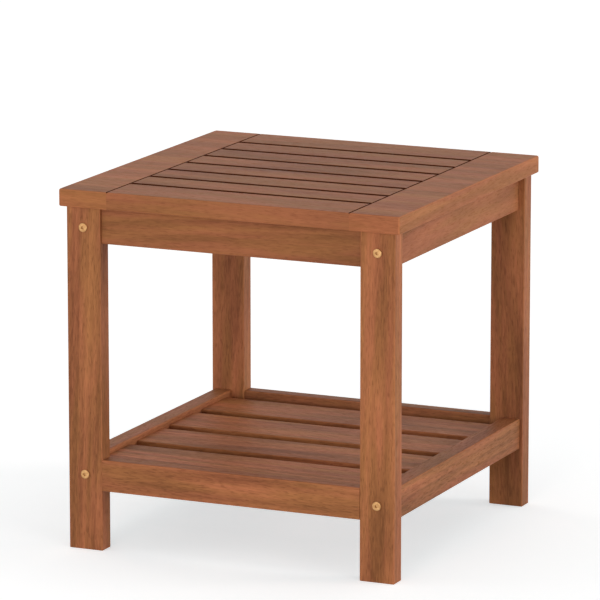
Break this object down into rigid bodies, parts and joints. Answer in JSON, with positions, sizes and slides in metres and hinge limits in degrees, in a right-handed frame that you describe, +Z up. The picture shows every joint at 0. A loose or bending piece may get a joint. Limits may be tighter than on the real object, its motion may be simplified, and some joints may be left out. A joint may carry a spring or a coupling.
{
  "type": "end table with shelf",
  "caption": "Square hardwood end table: slatted top inside a plain border, flat board legs held by bolts, aprons, and a low slatted shelf between rails.",
  "frame": {"origin": "on the floor under the middle of the table", "axes": "+Z up, front of the table toward -Y, +X to the right seen from the front"},
  "size_m": [0.457, 0.457, 0.457],
  "materials": {
    "table_wood": "satin",
    "bolt_brass": "satin",
    "plated_steel": "satin",
    "dowel_wood": "matte"
  },
  "bodies": {
    "root": {"apron_front": "table_wood", "apron_left": "table_wood", "apron_rear": "table_wood", "apron_right": "table_wood", "barrel_nuts": "plated_steel", "frame_dowels": "dowel_wood", "leg_bolts": "bolt_brass", "leg_front_left": "table_wood", "leg_front_right": "table_wood", "leg_rear_left": "table_wood", "leg_rear_right": "table_wood", "shelf_cleat_left": "table_wood", "shelf_cleat_right": "table_wood", "shelf_cleat_screws": "plated_steel", "shelf_rail_front": "table_wood", "shelf_rail_left": "table_wood", "shelf_rail_rear": "table_wood", "shelf_rail_right": "table_wood", "shelf_slat_1": "table_wood", "shelf_slat_2": "table_wood", "shelf_slat_3": "table_wood", "shelf_slat_4": "table_wood", "shelf_slat_screws": "plated_steel", "top_board_front": "table_wood", "top_board_rear": "table_wood", "top_end_board_left": "table_wood", "top_end_board_right": "table_wood", "top_screws": "plated_steel", "top_slat_1": "table_wood", "top_slat_2": "table_wood", "top_slat_3": "table_wood", "top_slat_4": "table_wood", "top_slat_5": "table_wood", "top_slat_6": "table_wood"}
  },
  "joints": []
}
